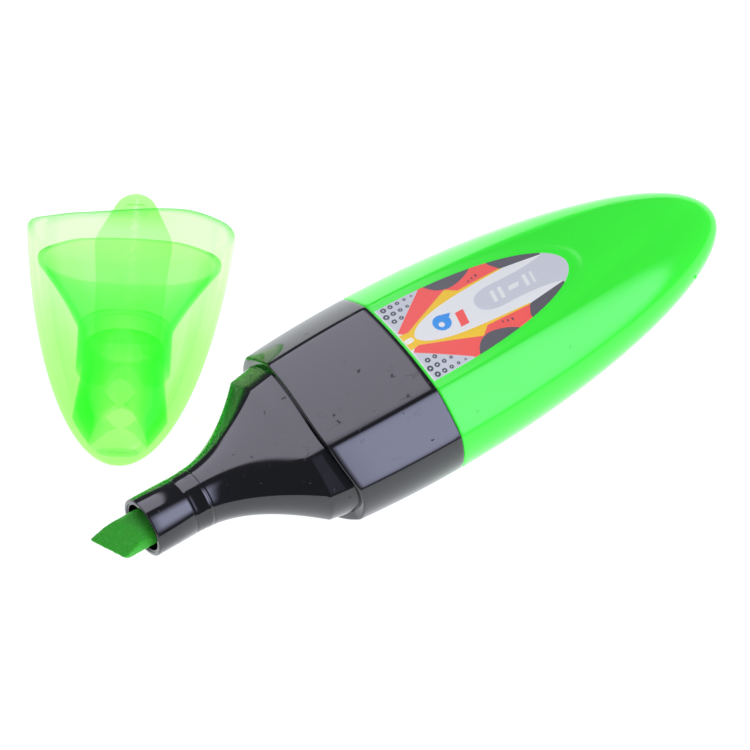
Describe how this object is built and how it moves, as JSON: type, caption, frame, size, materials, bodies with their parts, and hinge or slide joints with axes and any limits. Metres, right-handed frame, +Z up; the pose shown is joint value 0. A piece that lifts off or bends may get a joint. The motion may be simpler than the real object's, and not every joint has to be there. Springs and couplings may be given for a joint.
{
  "type": "highlighter",
  "caption": "Flat oval highlighter with a chisel nib, faceted barrel, printed label and a clear cap with a pocket clip lying beside it.",
  "frame": {"origin": "on the surface that the pen lies on, under the widest part of its body, in the middle of the flat it rests on", "axes": "+X along the pen from the nib to the tail, +Y across it towards the cap that lies beside it, +Z up from the surface"},
  "size_m": [0.0991, 0.0663, 0.0173],
  "materials": {
    "green_plastic": "satin fluorescent green, slightly translucent",
    "black_plastic": "polished black",
    "clear_green_plastic": "clear fluorescent green",
    "felt_nib": "porous felt, soaked with ink",
    "fibre": "bundled fibre, soaked with ink",
    "film": "clear film",
    "label_film": "printed film, satin"
  },
  "bodies": {
    "pen": {"barrel": "green_plastic", "front_section": "black_plastic", "nib": "felt_nib", "ink_reservoir": "fibre", "reservoir_film": "film", "label": "label_film"},
    "cap": {"cap_shell": "clear_green_plastic", "cap_liner": "clear_green_plastic"},
    "clip": {"pocket_clip": "clear_green_plastic"}
  },
  "joints": [
    {"name": "cap_pull", "type": "slide", "parent": "pen", "child": "cap", "axis": [0.6037, 0.781, 0.1599], "range_m": [0, 0.032]},
    {"name": "clip_flex", "type": "hinge", "parent": "cap", "child": "clip", "pos_m": [-0.02059, 0.03162, 0.00013], "axis": [-0.7912, 0.6115, 0], "range_deg": [0, 3], "stiffness_Nm_per_rad": 0.3}
  ]
}
